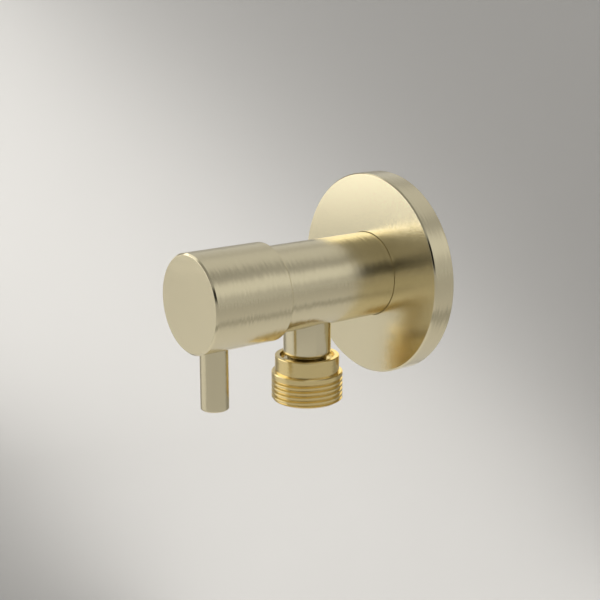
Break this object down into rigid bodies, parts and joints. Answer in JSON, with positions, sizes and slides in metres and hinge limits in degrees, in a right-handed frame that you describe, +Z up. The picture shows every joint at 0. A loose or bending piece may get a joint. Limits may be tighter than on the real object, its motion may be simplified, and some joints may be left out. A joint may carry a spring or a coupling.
{
  "type": "angle stop valve",
  "caption": "Angle stop valve: round wall flange, cylindrical body with a downward threaded outlet, and a quarter-turn handle cap with a lever pin.",
  "frame": {"origin": "centre of the wall flange's back face, on the valve's axis", "axes": "+Y into the wall along the inlet, -Y out along the handle, +Z up with the outlet pointing down"},
  "size_m": [0.06, 0.0824, 0.0647],
  "materials": {
    "body_brass": "brushed champagne gold coating, lines round the barrel",
    "handle_brass": "brushed champagne gold coating",
    "flange_brass": "satin champagne gold coating, turned",
    "adapter_brass": "bright polished gold",
    "cartridge_brass": "bare turned brass",
    "seal_rubber": "black moulded rubber",
    "cage_plastic": "white acetal",
    "ceramic": "lapped alumina ceramic",
    "spring_steel": "plain stainless steel"
  },
  "bodies": {
    "valve": {"valve_body": "body_brass", "outlet_adapter": "adapter_brass", "outlet_washer": "seal_rubber", "cartridge_housing": "cartridge_brass", "disc_cage": "cage_plastic", "fixed_disc": "ceramic", "seat_seal": "seal_rubber", "seal_support_ring": "cage_plastic", "bonnet_o_ring": "seal_rubber", "thrust_washer": "cage_plastic", "handle_glide_ring": "cage_plastic"},
    "handle": {"handle_cap": "handle_brass", "lever_pin": "handle_brass", "spline_adapter": "cartridge_brass", "adapter_screw": "spring_steel", "screw_lock_washer": "spring_steel", "spindle": "cartridge_brass", "spindle_o_rings": "seal_rubber", "spindle_clip": "spring_steel", "moving_disc": "ceramic"},
    "flange": {"wall_flange": "flange_brass", "flange_o_ring": "seal_rubber"}
  },
  "joints": [
    {"name": "handle_turn", "type": "hinge", "parent": "valve", "child": "handle", "pos_m": [0, -0.05, 0], "axis": [0, -1, 0], "range_deg": [0, 90]},
    {"name": "flange_slide", "type": "slide", "parent": "valve", "child": "flange", "axis": [0, -1, 0], "range_m": [0, 0.0117]}
  ]
}
